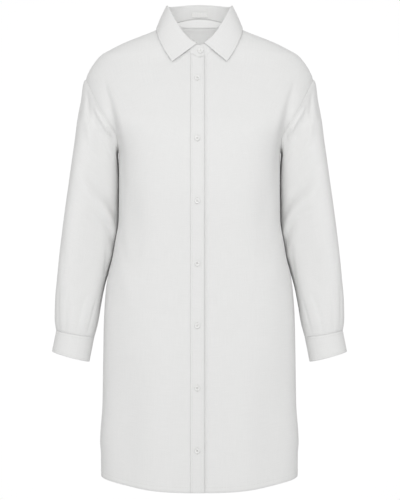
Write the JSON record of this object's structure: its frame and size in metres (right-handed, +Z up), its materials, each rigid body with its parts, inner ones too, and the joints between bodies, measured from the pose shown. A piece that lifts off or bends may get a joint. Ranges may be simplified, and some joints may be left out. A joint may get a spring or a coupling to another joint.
{
  "type": "shirt dress",
  "caption": "Long-sleeved shirt dress with a turn-down collar, buttoned front placket, cuffs and a curved hem, filled out as it hangs when worn.",
  "frame": {"origin": "between the shoulders, at the height where the wearer's shoulders carry the dress", "axes": "+Z up towards the collar, +X towards the wearer's left, -Y out of the front"},
  "size_m": [0.579, 0.2343, 0.9624],
  "materials": {
    "cloth": "plain white woven cotton and linen, matt",
    "facing_cloth": "fine white cotton, matt",
    "label_tape": "bare woven tape, satin",
    "button": "white shell, glossy"
  },
  "bodies": {
    "root": {"front_right": "cloth", "front_left": "cloth", "back": "cloth", "sleeve_right": "cloth", "sleeve_left": "cloth", "cuff_right": "cloth", "cuff_left": "cloth", "collar_stand": "cloth", "collar": "cloth", "placket": "cloth", "neck_facing": "facing_cloth", "neck_label": "label_tape", "button_collar": "button", "button_1": "button", "button_2": "button", "button_3": "button", "button_4": "button", "button_5": "button", "button_6": "button", "button_7": "button", "cuff_button_right": "button", "cuff_button_left": "button"}
  },
  "joints": []
}
